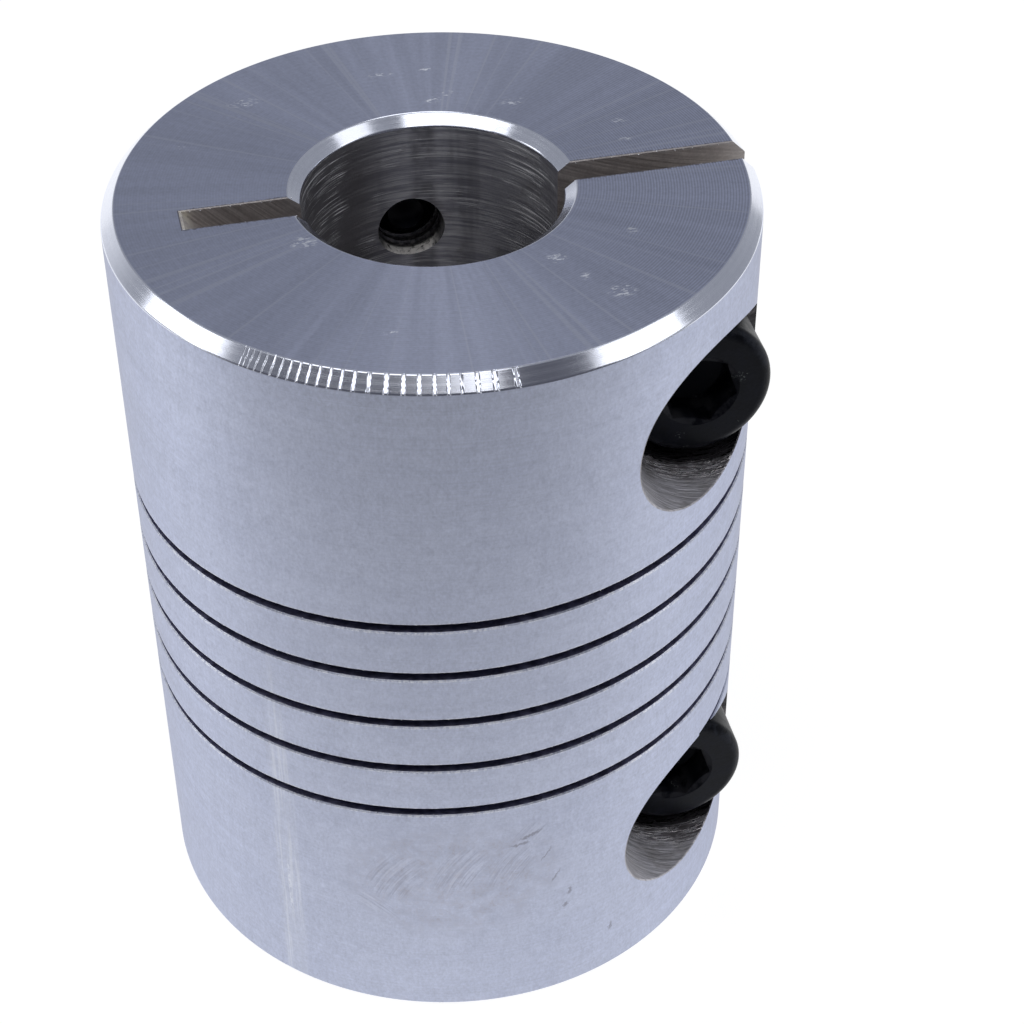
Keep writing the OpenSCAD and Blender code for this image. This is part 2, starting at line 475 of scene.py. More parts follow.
def hole_cutters(end):
    """The pocket, the plain and the tapped hole of the clamp screw, and the tapped hole of the set screw."""
    z, set_z = SCREW_HEIGHTS[end], SET_HEIGHTS[end]
    shank = [(0, 0), (SHANK_HOLE_R, 0), (SHANK_HOLE_R, HEAD_SEAT + 0.1), (0, HEAD_SEAT + 0.1)]
    low, high = SET_MOUTH
    mouth = [(0, low), (DRILL_R + 0.16, low), (DRILL_R - 0.02, high), (0, high)]
    milled, tapped = ZONE["milled_pocket"], ZONE["tapped_hole"]
    set_start = lying(0, set_z, SET_TAPPED_START, 1)
    return [
        opened_hole(f"{end}_pocket", SCREW_X, z, POCKET_R, HEAD_SEAT, -1, EDGE_BREAK, milled, POCKET_STEPS),
        lathe(f"{end}_plain_hole", shank, HOLE_STEPS, tapped, lying(SCREW_X, z)),
        opened_hole(f"{end}_tapped_hole", SCREW_X, z, DRILL_R, -0.5, 1, HOLE_BREAK, tapped),
        thread(f"{end}_tapped_thread", TAPPED_LENGTH, TAPPED_THREAD, lying(SCREW_X, z, 0.0, 1), tapped),
        opened_hole(f"{end}_set_hole", 0, set_z, DRILL_R, 1.0, 1, HOLE_BREAK, tapped),
        thread(f"{end}_set_thread", SET_TAPPED_LENGTH, TAPPED_THREAD, set_start, tapped),
        lathe(f"{end}_set_mouth", mouth, HOLE_STEPS, tapped, lying(0, set_z, 0.0, 1)),
    ]


def sort_lathe_finishes(mesh):
    """Tells apart the turned faces of the blank by where they lie."""
    for face in mesh.polygons:
        if face.material_index != ZONE["turned_side"]:
            continue
        x, y, z = face.center
        from_end = min(z, BODY_L - z)
        lean = abs(face.normal.z)
        if lean > 0.98 and from_end < 0.02:
            face.material_index = ZONE["faced_end"]
        elif lean > 0.1 and from_end < EDGE_BEVEL + 0.02:
            face.material_index = ZONE["bright_bevel"]
        elif hypot(x, y) < WAIST_R + 0.05:
            face.material_index = ZONE["bored_wall"]


def machined_body():
    body = body_blank()
    tools = spiral_cutters()
    for end in SCREW_HEIGHTS:
        tools += slit_cutters(end) + hole_cutters(end)
    combine(body, tools, "DIFFERENCE")
    sort_lathe_finishes(body.data)
    return body


def smooth_normals(mesh, axis_of_face):
    """Shades curved walls as round: turns each face's normal about its own axis to each corner.

    axis_of_face(face) gives None for a flat face, or a point on the axis and the axis letter.
    """
    normals = np.zeros((len(mesh.loops), 3))
    for face in mesh.polygons:
        normal = face.normal
        normals[face.loop_indices] = normal
        axis = axis_of_face(face)
        if axis is None:
            continue
        middle, letter = axis
        u, v = {"Z": (0, 1), "Y": (2, 0)}[letter]
        start = atan2(face.center[v] - middle[v], face.center[u] - middle[u])
        for loop in face.loop_indices:
            spot = mesh.vertices[mesh.loops[loop].vertex_index].co
            turn = atan2(spot[v] - middle[v], spot[u] - middle[u]) - start
            cosine, sine = cos(turn), sin(turn)
            turned = list(normal)
            turned[u] = normal[u] * cosine - normal[v] * sine
            turned[v] = normal[u] * sine + normal[v] * cosine
            normals[loop] = turned
    mesh.shade_smooth()
    mesh.normals_split_custom_set(normals.tolist())


def body_axis(face):
    """The body's round walls go round its own axis, and those of its holes round the nearest hole's."""
    if abs(face.normal.y) > 0.9999 or abs(face.normal.z) > 0.9999:
        return None
    finish = FINISHES[face.material_index]
    if finish in ("milled_pocket", "tapped_hole"):
        x, _, z = face.center
        holes = [(SCREW_X, height) for height in SCREW_HEIGHTS.values()]
        holes += [(0.0, height) for height in SET_HEIGHTS.values()]
        near = min(holes, key=lambda hole: hypot(x - hole[0], z - hole[1]))
        return ((near[0], 0, near[1]), "Y")
    if finish in ("turned_side", "bright_bevel", "bored_wall", "spiral_wall"):
        return ((0, 0, 0), "Z")
    return None


def screw_axis(x, z):
    """A lying screw is round about its own axis, apart from its flat ends."""
    return lambda face: None if abs(face.normal.y) > 0.999 else ((x, 0, z), "Y")


def finished(piece, materials):
    """Gives the mesh its materials, brings it to metres and lets it ride on the body."""
    mesh = piece.data
    for index, material in enumerate(materials):
        if index < len(mesh.materials):
            mesh.materials[index] = material
        else:
            mesh.materials.append(material)
    mesh.transform(Matrix.Scale(MM, 4))
    mesh.update()
    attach(piece, "root")


# Burrs: how far under the outline their lines lie, how far they stray, and each kind's spacing and size
BURR_DEPTH = 0.055
BURR_WANDER = 0.02
BURR_KINDS = {"slit": (0.34, 0.08), "spiral": (0.42, 0.07)}
BURR_STEPS = 120


def burr_tree():
    """Tiny flakes of metal left along the lines that it is given."""
    tree = ShapeTree("edge_burrs", {"Spacing": 0.2, "Size": 0.05, "Wander": 0.03, "Seed": 7, "Finish": None})
    given = tree.given

    def chance(low, high, offset):
        return tree.add("FunctionNodeRandomValue", {"Min": low, "Max": high, "Seed": given["Seed"] + offset},
                        data_type="FLOAT_VECTOR")

    path = tree.add("GeometryNodeMeshToCurve", {"Mesh": given["Geometry"]})
    spots = tree.add("GeometryNodeCurveToPoints", {"Curve": path, "Length": given["Spacing"]}, mode="LENGTH")
    aside = tree.scaled(chance((-1, -1, -1), (1, 1, 1), 1.0), given["Wander"])
    moved = tree.add("GeometryNodeSetPosition", {"Geometry": spots, "Offset": aside})
    size = tree.scaled(chance((0.3, 0.3, 0.3), (1, 1, 1), 2.0), given["Size"])
    flake = tree.add("GeometryNodeMeshIcoSphere", {"Radius": 0.5, "Subdivisions": 1})
    tree.end(tree.add("GeometryNodeInstanceOnPoints", {
        "Points": moved, "Instance": flake, "Scale": size,
        "Rotation": chance((0, 0, 0), (TURN, TURN, TURN), 3.0),
    }))
    return tree


def burr_lines():
    """The lines that burrs lie along, just inside the body's outline, as lists of points."""
    lines = {"slit": [], "spiral": []}
    radius = BODY_R - BURR_DEPTH
    for z in (BURR_DEPTH, BODY_L - BURR_DEPTH):
        for y in (-SLIT_SHIFT - SLIT_W / 2, -SLIT_SHIFT + SLIT_W / 2):
            for start, end in ((-SLIT_REACH, -BORE_R - 0.3), (BORE_R + 0.3, BODY_R - 0.7)):
                lines["slit"].append([(start, y, z), (end, y, z)])
    for side in (-1, 1):
        lines["spiral"].append([
            (radius * cos(a), -radius * sin(a),
             CUT_TOP - CUT_PITCH * a / TURN + side * (CUT_W / 2 + 0.02))
            for a in [TURN * k / BURR_STEPS for k in range(BURR_STEPS * CUT_TURNS + 1)]
        ])
    return lines


def edge_burrs():
    """Burrs along the slits and the spiral cut."""
    tree = burr_tree()
    for kind, lines in burr_lines().items():
        spacing, size = BURR_KINDS[kind]
        points, edges = [], []
        for line in lines:
            edges += [(len(points) + k, len(points) + k + 1) for k in range(len(line) - 1)]
            points += line
        mesh = bpy.data.meshes.new(f"{kind}_burrs")
        mesh.from_pydata(points, edges, [])
        burrs = grown(f"{kind}_burrs", tree, {"Spacing": spacing, "Size": size, "Wander": BURR_WANDER}, mesh)
        finished(burrs, [burr_metal()])


# Screws

def hexagon(width, turn):
    corner = width / sqrt(3)
    angles = [TURN * k / 6 + turn for k in range(6)]
    return [(corner * cos(a), corner * sin(a)) for a in angles]


def cap_screw(name, x, z):
    """Socket head cap screw made about Z with its seat at zero, then laid towards -Y."""
    outline = [
        (0, -SCREW_L), (THREAD_CORE_R - TIP_BEVEL, -SCREW_L), (THREAD_CORE_R, -SCREW_L + 0.3),
        (THREAD_CORE_R, -2 * NECK_L), (NECK_R, -NECK_L), (NECK_R, 0.02),
        (HEAD_R - HEAD_EDGE, 0), (HEAD_R, HEAD_EDGE), (HEAD_R, HEAD_H - HEAD_ROUND),
    ]
    outline += [(HEAD_R - HEAD_ROUND * (1 - cos(a)), HEAD_H - HEAD_ROUND * (1 - sin(a)))
                for a in [radians(10 * k) for k in range(1, 10)]]
    outline += [(0, HEAD_H)]
    screw = lathe(name, outline, SCREW_STEPS)
    ridge_place = Matrix.Translation((0, 0, -SCREW_L + 0.15))
    combine(screw, [thread("ridge", SCREW_L - 0.7, SCREW_THREAD, ridge_place)], "UNION")
    floor_z = HEAD_H - SOCKET_T
    low, high = HEAD_H - LEAD_DEPTH, HEAD_H + LEAD_RISE
    lead_in = [(0, low), (SOCKET_W / 2 - 0.05, low), (SOCKET_W / sqrt(3) + 0.3, high), (0, high)]
    drill_point = [(0, floor_z - DRILL_POINT), (SOCKET_W / 2, floor_z), (0, floor_z + 0.05)]
    combine(screw, [
        prism("key", hexagon(SOCKET_W, SOCKET_TURN), floor_z, HEAD_H + PAST),
        lathe("lead_in", lead_in, HOLE_STEPS), lathe("socket_floor", drill_point, HOLE_STEPS),
    ], "DIFFERENCE")
    screw.data.transform(lying(x, z, -HEAD_SEAT))
    return screw


def set_screw(name, x, z):
    """Headless screw made about Z with its cup point at zero, then laid towards +Y."""
    outline = [
        (0, CUP_R / 2), (CUP_R, 0), (THREAD_CORE_R, THREAD_CORE_R - CUP_R),
        (THREAD_CORE_R, SET_L - TIP_BEVEL), (THREAD_CORE_R - 0.1, SET_L), (0, SET_L),
    ]
    screw = lathe(name, outline, HOLE_STEPS)
    combine(screw, [thread("ridge", SET_L - 1.0, SCREW_THREAD, Matrix.Translation((0, 0, 0.55)))], "UNION")
    low, high = SET_L - SET_LEAD, SET_L + SET_LEAD
    lead_in = [(0, low), (0.7, low), (1.0, high), (0, high)]
    combine(screw, [
        prism("key", hexagon(SET_SOCKET_W, SET_SOCKET_TURN), SET_L - SET_SOCKET_T, SET_L + PAST),
        lathe("lead_in", lead_in, HOLE_STEPS),
    ], "DIFFERENCE")
    screw.data.transform(lying(x, z, SET_POINT, 1))
    return screw


# Finishes

class Wiring(NodeMaker):
    """The emptied nodes of one material or world."""

    def __init__(self, owner):
        owner.use_nodes = True
        super().__init__(owner.node_tree)
        self.group.nodes.clear()

    def vector(self, operation, *values):
        return self.add("ShaderNodeVectorMath", dict(enumerate(values)), operation=operation)

    def facing(self, way, direction):
        """How far a place or way lies in a direction."""
        return self.add("ShaderNodeVectorMath", {0: way, 1: direction}, "Value", operation="DOT_PRODUCT")

    def point(self, x, y, z):
        return self.add("ShaderNodeCombineXYZ", {0: x, 1: y, 2: z})

    def hypot(self, first, second):
        return self.maths("SQRT", first * first + second * second)

    def noise(self, at, detail=2.0, roughness=0.5, distortion=0.0, scale=1.0):
        return self.add("ShaderNodeTexNoise", {
            "Vector": at, "Scale": scale, "Detail": detail, "Roughness": roughness, "Distortion": distortion,
        }, "Fac")

    def blend(self, first, second, amount):
        first, second = (c if isinstance(c, Value) else (*c, 1.0) for c in (first, second))
        return self.add("ShaderNodeMix", {"Factor": amount, 6: first, 7: second}, 2, data_type="RGBA")


class Finish(Wiring):
    """One material of the object. Its patterns read the object's own coordinates in millimetres."""

    def __init__(self, name, **shader_values):
        self.material = bpy.data.materials.new(name)
        super().__init__(self.material)
        self.shader = self.node("ShaderNodeBsdfPrincipled")
        for label, value in shader_values.items():
            self.feed(self.shader.inputs[label.replace("_", " ")], value)
        self.spot = self.scaled(self.add("ShaderNodeTexCoord", output="Object"), 1 / MM)
        self.x, self.y, self.z = self.parts(self.spot)
        self.radius = self.hypot(self.x, self.y)
        self.angle = self.maths("ARCTAN2", self.y, self.x)

    def over(self, colour, amount):
        """Lays a colour over the one so far."""
        self.base = self.blend(self.base, colour, amount)

    def done(self, roughness, relief=None, depth=0.0, metallic=None):
        """Feeds the shader and gives the material. A relief of one stands for a depth in millimetres."""
        surface = {"Base Color": self.base, "Roughness": roughness}
        if relief is not None:
            surface["Normal"] = self.add("ShaderNodeBump", {"Height": relief, "Distance": depth * MM})
        if metallic is not None:
            surface["Metallic"] = metallic
        for label, value in surface.items():
            self.feed(self.shader.inputs[label], value)
        self.node("ShaderNodeOutputMaterial", {"Surface": Value(self, self.shader.outputs[0])})
        return self.material

    def stretched(self, x, y, z, detail, roughness, distortion=0.0):
        """Noise that is finer or coarser along each axis by its own factor."""
        return self.noise(self.vector("MULTIPLY", self.spot, (x, y, z)), detail, roughness, distortion)

    def spotted(self, scale, detail=2.0, roughness=0.5):
        return self.noise(self.spot, detail, roughness, scale=scale)

    def outward(self):
        return self.vector("NORMALIZE", self.point(self.x, self.y, 0))

    def shade(self, colour, *changes):
        """A colour made lighter and darker. Each change is a pattern round 0.5 and its strength."""
        tone = 1.0
        for pattern, strength in changes:
            tone = (pattern - 0.5) * strength + tone
        return self.scaled(colour, tone)

    def tooled(self):
        """Lets the sheen of the metal run across tool marks that go round the Z axis."""
        self.feed(self.shader.inputs["Anisotropic Rotation"], 0.25)
        tangent = self.vector("NORMALIZE", self.vector("CROSS_PRODUCT", (0, 0, 1), self.spot))
        self.feed(self.shader.inputs["Tangent"], tangent)

    def on_side(self, turn, height, tilt=0.0):
        """Distances in mm from a spot on the turned side, along and across a tilted direction."""
        along = (self.angle - radians(turn)) * BODY_R
        up = self.z - height
        c, s = cos(radians(tilt)), sin(radians(tilt))
        return along * c + up * s, up * c - along * s

    def oval(self, along, across, half_length, half_width):
        """Mask of one inside an oval, fading to nought at its edge."""
        return self.hypot(along * (1 / half_length), across * (1 / half_width)).ease(1.0, 0.5)


FRESH_SCRATCH = (0.90, 0.93, 1.0)

# Marks of handling on the turned side of the lower hub: angle, height, half length, half width, tilt
SLANTED_SCUFFS = [
    (-111.5, 7.9, 1.7, 1.4, 57), (-99.5, 8.4, 1.8, 1.1, 57), (-90.0, 8.3, 1.4, 1.0, 57),
    (-86.5, 9.8, 1.1, 0.7, 50), (-115.5, 6.2, 1.2, 0.6, -35),
]
DARK_NICKS = [
    (-78.1, 6.05, 0.26, 0.12, 80), (-68.7, 2.8, 0.28, 0.12, 80), (-86.0, 9.9, 0.6, 0.10, 20),
    (-88.2, 9.5, 0.5, 0.08, 8), (-79.0, 5.3, 0.2, 0.12, 60), (-83.0, 8.6, 0.5, 0.05, 57),
    (-81.0, 7.2, 0.5, 0.05, 57),
]
# The grimy patch among them, and a pale streak that runs up the side
STAIN_AT = (-100.5, 7.8)
STAIN_SIZE = (5.4, 3.8)
STREAK_AT = (-133.6, 5.7, 90)
# Pitch in mm of the fine and the wide rings that facing left on the end faces
RING_PITCH = 0.105
WIDE_RING_PITCH = 0.27
# Chatter marks on the outer bevels: the sector that they cover and how many there are
CHATTER_SECTOR = (-134.5, -86.5)
CHATTER_MARKS = 25
# Small bright scuffs on the upper end face: place and half sizes
FACE_SCUFFS = [
    (-0.35, 8.28, 0.45, 0.12), (-5.8, 7.4, 0.6, 0.3), (1.25, 5.93, 0.3, 0.22), (1.9, 6.3, 0.22, 0.2),
    (4.2, 5.1, 0.45, 0.25), (1.54, 8.3, 0.35, 0.1), (-8.5, 4.7, 0.2, 0.12), (4.9, -8.0, 0.5, 0.35),
    (7.57, 1.48, 0.25, 0.12), (7.75, 2.85, 0.3, 0.15), (-3.2, -8.6, 0.25, 0.1),
    (-5.1, -2.6, 0.5, 0.35), (3.2, -5.6, 0.35, 0.3), (3.9, -6.9, 0.2, 0.2), (6.2, -4.5, 0.2, 0.2),
]
SCUFF_SCALE = 1.3


def turned_side():
    made = Finish("turned_side", Metallic=1.0, Roughness=0.45, Anisotropic=0.8,
                  Specular_Tint=(0.78, 0.78, 0.80, 1))
    made.tooled()
    lines = made.stretched(0.10, 0.10, 11.0, 2, 0.6)
    bands = made.stretched(0.05, 0.05, 2.4, 2, 0.5)
    grain = made.stretched(4.2, 4.2, 0.4, 3, 0.6)
    cloud = made.spotted(0.3, 4, 0.6)
    fleck = made.stretched(9.0, 9.0, 6.0, 3, 0.7)
    mottle = made.stretched(2.1, 2.1, 1.9, 3, 0.6)
    made.base = made.shade((0.585, 0.625, 0.775), (lines, 0.24), (bands, 0.10), (grain, 0.08),
                           (cloud, 0.20), (fleck, 0.50), (mottle, 0.22))

    along, across = made.on_side(*STAIN_AT)
    dirt = made.spotted(1.5, 6, 0.8)
    stain = made.oval(along, across, *STAIN_SIZE) * dirt.ease(0.38, 0.66)
    made.over((0.40, 0.385, 0.43), stain * fleck.ease(0.35, 0.65, 0.08, 0.62))
    for turn, height, *halves, tilt in SLANTED_SCUFFS:
        along, across = made.on_side(turn, height, tilt)
        # The turn shifts each scuff's noise, so that no two are alike
        strokes = made.point(along * 0.6, (across + along * along * 0.09) * 13.0, turn)
        strokes = made.noise(strokes, 3, 0.65)
        within = made.oval(along, across, *halves)
        made.over((0.36, 0.38, 0.48), within * strokes.ease(0.50, 0.62, 0, 0.42))
        made.over((0.80, 0.83, 0.95), within * strokes.ease(0.46, 0.37, 0, 0.24))
    for turn, height, *halves, tilt in DARK_NICKS:
        along, across = made.on_side(turn, height, tilt)
        wavy = across + (fleck - 0.5) * 0.40
        made.over((0.22, 0.21, 0.25), made.oval(along, wavy, *halves) * 0.55)
    along, across = made.on_side(*STREAK_AT)
    column = made.stretched(9.0, 9.0, 0.25, 2, 0.6)
    wide = made.oval(along, across, 15.0, 0.7) * column.ease(0.46, 0.66, 0.12, 0.42)
    thin = made.oval(along, across, 2.2, 0.07) * fleck.ease(0.42, 0.6, 0, 0.5)
    made.over(FRESH_SCRATCH, wide + thin)

    # Thin bright lip along both edges of the spiral cut: partly burrs, partly a painted highlight where the
    # edges catch the light. Broken up by noise
    swept = made.maths("FRACT", made.angle * (-1 / TURN))
    turns = (CUT_TOP - made.z) * (1 / CUT_PITCH) - swept
    nearest = made.maths("ROUND", turns)
    from_cut = abs(turns - nearest) * CUT_PITCH
    along_cut = (nearest > -0.5) * (nearest < CUT_TURNS - 0.5)
    burr_and_highlight_lip = from_cut.ease(CUT_W / 2 + 0.10, CUT_W / 2 + 0.06) * along_cut
    made.over((0.92, 0.94, 1.0), burr_and_highlight_lip * fleck.ease(0.42, 0.58, 0.1, 0.8))
    roughness = cloud.ease(0.3, 0.8, 0.42, 0.49) + lines.ease(0.3, 0.8, -0.03, 0.03)
    return made.done(roughness, lines + bands * 0.6, 0.0012)


def faced_end():
    made = Finish("faced_end", Metallic=1.0, Roughness=0.38, Anisotropic=0.75)
    made.tooled()
    rings = made.maths("SINE", made.radius * (TURN / RING_PITCH))
    wide = made.maths("SINE", made.radius * (TURN / WIDE_RING_PITCH) + made.x * 0.5)
    drift = made.noise(made.point(made.radius * 7.0, 0, 0), 3, 0.6)
    outward = made.outward()
    spread = made.vector("ADD", made.scaled(outward, 17.0), made.point(0, 0, made.radius * 0.06))
    spokes = made.noise(spread, 3, 0.65)
    cloud = made.spotted(0.3, 3, 0.6)
    fleck = made.spotted(7.0, 3, 0.7)
    made.base = made.shade((0.53, 0.565, 0.715), (drift, 0.10), (spokes, 0.28), (cloud, 0.12),
                           (fleck, 0.36), (wide, 0.010))
    # The facing rings are real marks in the colour, with painted light: their contrast grows towards +X,
    # where the light shows them
    made.base = made.scaled(made.base, rings * made.x.ease(2.0, 8.0, 0.03, 0.15) + 1.0)
    rays = made.noise(made.scaled(outward, 38.0), 1)
    made.over((0.66, 0.69, 0.80), rays.ease(0.60, 0.68, 0, 0.45))

    # Dark ragged fringe along the slit, then the scuffs
    ragged = abs(made.y + SLIT_SHIFT) + (fleck - 0.5) * 0.25
    fringe = ragged.ease(SLIT_W / 2 + 0.10, SLIT_W / 2 + 0.04) * (made.x > -SLIT_REACH - 0.1)
    made.over((0.17, 0.16, 0.18), fringe * 0.7)
    flakes = made.stretched(4.5, 11.0, 1.0, 2, 0.6).ease(0.53, 0.60)
    scuff = 0.0
    for x, y, half_x, half_y in FACE_SCUFFS:
        spot = made.oval(made.x - x, made.y - y, half_x * SCUFF_SCALE, half_y * SCUFF_SCALE)
        scuff = made.larger(scuff, spot)
    scuff = scuff * flakes * (made.z > BODY_L / 2)
    roughness = spokes.ease(0.3, 0.8, 0.34, 0.40) + scuff * 0.22
    made.over(FRESH_SCRATCH, scuff)
    return made.done(roughness, rings * 0.2 + (drift + spokes * 0.6), 0.0020)


def bright_bevel():
    """Bevels with narrow chatter marks. Each mark leans the bevel a little towards the end face."""
    made = Finish("bright_bevel", Metallic=1.0, Roughness=0.16, Anisotropic=0.3)
    made.tooled()
    outward = made.outward()
    drift = made.noise(made.scaled(outward, 3.0))
    pulse = made.noise(made.scaled(outward, 34.0), 1)
    first, last = (radians(turn) for turn in CHATTER_SECTOR)
    into = made.angle - first
    packed = made.maths("POWER", made.larger(into * (1 / (last - first)), 0.0), 0.66) * CHATTER_MARKS
    phase = made.maths("FRACT", packed + drift * 2.4)
    ridge = abs(phase - 0.5).ease(0.17, 0.06) * pulse.ease(0.30, 0.50)
    within = into.ease(0.0, 0.02) * made.angle.ease(last, last - 0.02)
    ridge = ridge * (within * (made.radius > BODY_R - 1))
    upward = made.radius - (BODY_R - EDGE_BEVEL / 2)
    turned = made.noise(made.point(made.radius * 26.0, made.z * 26.0, drift * 2.0), 2)
    fleck = made.spotted(6.0, 3, 0.6)
    made.base = made.shade((0.84, 0.87, 0.97), (turned, 0.16), (fleck, 0.14))
    return made.done(turned.ease(0.3, 0.7, 0.13, 0.20), ridge * (upward * 0.2) + turned * 0.0002, 1.0)


def bored_wall():
    """Dull bore with fine scratches round it, with painted shade at both sides and along one upright band.
    """
    made = Finish("bored_wall", Metallic=0.8, Roughness=0.42, Anisotropic=0.5)
    made.tooled()
    fine = made.stretched(0.30, 0.30, 9.0, 4, 0.7)
    scratch = made.stretched(0.22, 0.22, 15.0, 3, 0.65)
    hair = made.stretched(0.35, 0.35, 30.0, 2, 0.6)
    blotch = made.spotted(0.7, 4, 0.6)
    upright = made.stretched(0.75, 0.75, 0.06, 3, 0.6)
    made.base = made.blend((0.54, 0.54, 0.61), (0.98, 0.98, 1.0), fine.ease(0.38, 0.66))
    # Painted shade: darker towards both sides of the bore
    made.over((0.26, 0.25, 0.265), abs(made.x - 1.6).ease(1.3, 4.2, 0, 0.93))
    # Painted shade in a dark upright band
    band = abs(made.x - 0.55).ease(0.65, 0.25) * blotch.ease(0.35, 0.6, 0.3, 0.75)
    made.over((0.24, 0.235, 0.26), band)
    made.over((0.28, 0.265, 0.275), blotch.ease(0.52, 0.72, 0, 0.5))
    made.over((0.28, 0.28, 0.32), upright.ease(0.52, 0.68, 0, 0.4))
    worn = made.spotted(0.55).ease(0.42, 0.58)
    marks = made.larger(scratch.ease(0.60, 0.63), hair.ease(0.62, 0.65)) * worn
    made.over((1.0, 1.0, 1.0), marks)
    return made.done(fine.ease(0.3, 0.7, 0.30, 0.45), fine + scratch * 0.8, 0.008, marks * -0.65 + 0.8)


def sawn_slit():
    """Walls of the slits, with marks that follow the round saw of the nearer end."""
    made = Finish("sawn_slit", Metallic=0.75, Roughness=0.5)
    middle = BODY_L / 2
    from_middle = abs(made.z - middle)
    arc = made.hypot(middle + SAW_RISE - from_middle, made.x - SAW_X)
    marks = made.noise(made.point(arc * 13.0, made.x * 0.1, made.y * 0.5), 4, 0.7)
    blotch = made.spotted(1.2, 4, 0.65)
    speck = made.spotted(9.0, 3, 0.7)
    made.base = made.blend((0.44, 0.405, 0.39), (0.70, 0.655, 0.63), marks.ease(0.35, 0.70))
    made.over((0.50, 0.465, 0.455), blotch.ease(0.45, 0.7, 0, 0.8))
    made.base = made.shade(made.base, (speck, 0.5))
    lip = from_middle.ease(middle - 0.18, middle - 0.05) * blotch.ease(0.42, 0.58)
    made.over((0.62, 0.60, 0.60), lip * 0.35)
    blind = made.x.ease(-SLIT_REACH + 0.55, -SLIT_REACH + 0.15) * blotch.ease(0.35, 0.6, 0.2, 0.9)
    made.over((0.90, 0.86, 0.76), blind)
    return made.done(marks.ease(0.3, 0.7, 0.42, 0.6), marks + blotch * 0.5, 0.012)


def spiral_wall():
    made = Finish("spiral_wall", Metallic=1.0, Roughness=0.5)
    marks = made.stretched(2.5, 2.5, 0.0, 4, 0.7)
    # Painted shade: the walls of the narrow cut are coloured a dark blue-grey, far darker than the metal
    made.base = made.blend((0.24, 0.24, 0.38), (0.36, 0.36, 0.52), marks.ease(0.35, 0.65))
    return made.done(marks.ease(0.3, 0.7, 0.45, 0.65), marks, 0.01)


def milled_pocket():
    """Walls round the screw heads: painted shadow deep in and above the head, scratched by keys further out,
    with painted glints on the scratches.
    """
    made = Finish("milled_pocket", Metallic=0.4, Roughness=0.42)
    fine = made.stretched(0.5, 8.0, 0.5, 4, 0.7)
    scratch = made.stretched(1.0, 7.5, 1.0, 4, 0.7, 0.5)
    blotch = made.spotted(0.8, 3, 0.6)
    made.base = made.blend((0.46, 0.45, 0.48), (0.80, 0.79, 0.85), fine.ease(0.36, 0.66))
    made.over((0.36, 0.345, 0.355), blotch.ease(0.48, 0.66, 0, 0.65))
    wandering = made.y + (blotch - 0.5) * 0.8
    used = wandering.ease(-8.3, -7.5, 0.15, 1.0)
    glints = used * scratch.ease(0.52, 0.55)
    made.over((0.10, 0.085, 0.09), used * scratch.ease(0.51, 0.45, 0, 0.85))
    made.over((1.0, 0.96, 0.98), glints)
    # Both screws lie at the same place in a height that starts again half way between them
    apart = SCREW_HEIGHTS["upper"] - SCREW_HEIGHTS["lower"]
    shifted = made.z + (apart / 2 - SCREW_HEIGHTS["upper"])
    over_screw = made.maths("WRAP", shifted, apart, 0.0) - apart / 2
    # Painted shadow next to the head deep in the pocket, and on the wall above the screw's axis
    shaded = made.larger(wandering.ease(-7.2, -6.8), over_screw.ease(0.2, 1.6))
    made.over((0.02, 0.018, 0.022), shaded * 0.93)
    roughness = fine.ease(0.3, 0.7, 0.32, 0.5) - glints * 0.24
    return made.done(roughness, fine + scratch * 2.2, 0.03, glints * 0.6 + 0.4)


def tapped_hole():
    """Threads painted dark as shade deep in the hole, lighter towards the outside, with a bright sill at the
    bore on the side of the nearer end: a burred rim with a painted highlight.
    """
    made = Finish("tapped_hole", Metallic=0.7, Roughness=0.35)
    marks = made.spotted(4.0, 4, 0.7)
    # Painted shade: the threads are coloured nearly black
    made.base = made.blend((0.08, 0.08, 0.085), (0.24, 0.23, 0.235), marks.ease(0.4, 0.7))
    inward = SET_HEIGHTS["upper"] - BODY_L / 2 - abs(made.z - BODY_L / 2)
    mouth = made.radius.ease(BORE_R + 0.62, BORE_R + 0.42) * marks.ease(0.34, 0.54, 0.20, 1.0)
    # Less painted shade towards the outside: lighter from a radius of 7 mm
    made.over((0.52, 0.50, 0.51), made.radius.ease(7.0, 9.0, 0, 0.7))
    # Painted highlight on the burred sill at the bore
    made.over((0.98, 0.95, 0.91), mouth * inward.ease(0.55, 1.05, 0.05, 1.0))
    return made.done(marks.ease(0.3, 0.7, 0.25, 0.45), marks, 0.01, 0.7 - mouth * 0.6)


def black_oxide(name, x, z, head):
    """Blackened steel of the screw whose axis is at x and z. A head is worn at its rim and its socket."""
    made = Finish(name, Metallic=0.0, Roughness=0.45, Specular_IOR_Level=0.12,
                  Specular_Tint=(0.85, 0.9, 1.0, 1))
    dust = made.spotted(1.4, 4, 0.65)
    grain = made.spotted(9.0, 3, 0.6)
    from_axis = made.hypot(made.x - x, made.z - z)
    made.base = made.blend((0.0030, 0.0034, 0.006), (0.008, 0.009, 0.015), dust.ease(0.35, 0.7))
    if head:
        rim = from_axis.ease(HEAD_R - 0.45, HEAD_R - 0.20) * from_axis.ease(HEAD_R, HEAD_R - 0.08)
        made.over((0.05, 0.055, 0.07), rim * dust.ease(0.40, 0.62, 0, 0.5))
        mouth = abs(from_axis - (SOCKET_W / 2 + 0.12)).ease(0.14, 0.05)
        made.over((0.06, 0.06, 0.065), mouth * dust.ease(0.42, 0.6, 0, 0.5))
    smudge = made.spotted(0.9, 1).ease(0.68, 0.74) * grain.ease(0.54, 0.62)
    made.over((0.16, 0.18, 0.17), smudge * 0.8)
    return made.done(dust.ease(0.3, 0.75, 0.30, 0.46), grain + dust, 0.006)


